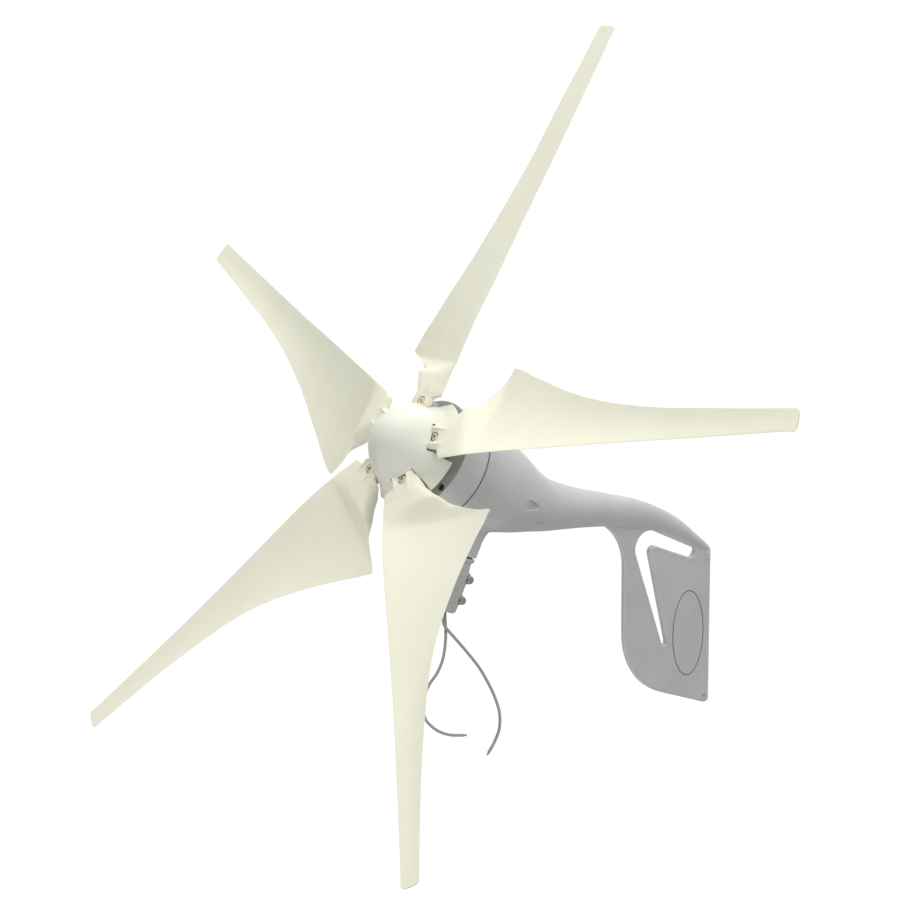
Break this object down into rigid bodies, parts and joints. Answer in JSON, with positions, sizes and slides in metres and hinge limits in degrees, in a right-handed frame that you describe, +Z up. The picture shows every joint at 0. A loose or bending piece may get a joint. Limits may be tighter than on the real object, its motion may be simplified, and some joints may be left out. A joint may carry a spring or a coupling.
{
  "type": "small wind turbine",
  "caption": "Small horizontal-axis wind turbine: bladed rotor on a cast generator body with a slotted tail fin, turning on a clamp for a round pole, with two leads hanging from it.",
  "frame": {"origin": "centre of the pole clamp's lower rim, on the yaw axis", "axes": "+Z up along the yaw axis, -Y towards the nose, +Y towards the tail fin, +X to the right seen from the front"},
  "size_m": [1.1563, 0.7477, 1.0961],
  "materials": {
    "ivory": "ivory moulded blade plastic, slight gloss",
    "pearl": "pearl grey-white nose cone, satin gloss",
    "cast": "aluminium casting in light grey powder paint",
    "rubber": "black rubber",
    "zinc": "zinc plated steel",
    "bearing": "ground bearing steel",
    "lamination": "laminated electrical steel",
    "copper": "enamelled copper wire",
    "magnet": "nickel plated magnet",
    "ring_brass": "brass slip rings",
    "carbon": "carbon brush",
    "nylon": "black nylon",
    "wire": "grey lead insulation"
  },
  "bodies": {
    "pole_mount": {"clamp_body": "cast", "clamp_cap": "cast", "clamp_bolt_1": "zinc", "clamp_bolt_2": "zinc", "clamp_bolt_3": "zinc", "clamp_bolt_4": "zinc", "yaw_spindle": "zinc", "lead_grommet": "rubber", "slip_ring_drum": "nylon", "slip_ring_1": "ring_brass", "slip_ring_2": "ring_brass", "yaw_seal": "rubber", "lead_wire_1": "wire", "lead_wire_2": "wire"},
    "nacelle": {"nacelle_body": "cast", "front_cover": "cast", "cover_gasket": "rubber", "case_bolt_1": "zinc", "case_bolt_2": "zinc", "case_bolt_3": "zinc", "case_bolt_4": "zinc", "front_bearing": "bearing", "rear_bearing": "bearing", "yaw_bearing_lower": "bearing", "yaw_bearing_upper": "bearing", "shaft_seal": "rubber", "stator_core": "lamination", "stator_windings": "copper", "brush_1": "carbon", "brush_2": "carbon", "brush_holder": "nylon", "rectifier": "nylon"},
    "rotor": {"spinner": "pearl", "hub": "cast", "hub_washer": "zinc", "hub_nut": "zinc", "main_shaft": "zinc", "rotor_core": "lamination", "magnet_ring": "magnet", "blade_1": "ivory", "blade_2": "ivory", "blade_3": "ivory", "blade_4": "ivory", "blade_5": "ivory", "blade_screw_outer_1": "zinc", "blade_screw_outer_2": "zinc", "blade_screw_outer_3": "zinc", "blade_screw_outer_4": "zinc", "blade_screw_outer_5": "zinc", "blade_screw_inner_1": "zinc", "blade_screw_inner_2": "zinc", "blade_screw_inner_3": "zinc", "blade_screw_inner_4": "zinc", "blade_screw_inner_5": "zinc", "spinner_screw_1": "zinc", "spinner_screw_2": "zinc", "spinner_screw_3": "zinc"}
  },
  "joints": [
    {"name": "yaw", "type": "hinge", "parent": "pole_mount", "child": "nacelle", "pos_m": [0, 0, 0.09], "axis": [0, 0, 1], "continuous": true},
    {"name": "rotor_spin", "type": "hinge", "parent": "nacelle", "child": "rotor", "pos_m": [0, -0.116, 0.183], "axis": [0, 0.9848, -0.1736], "continuous": true}
  ]
}
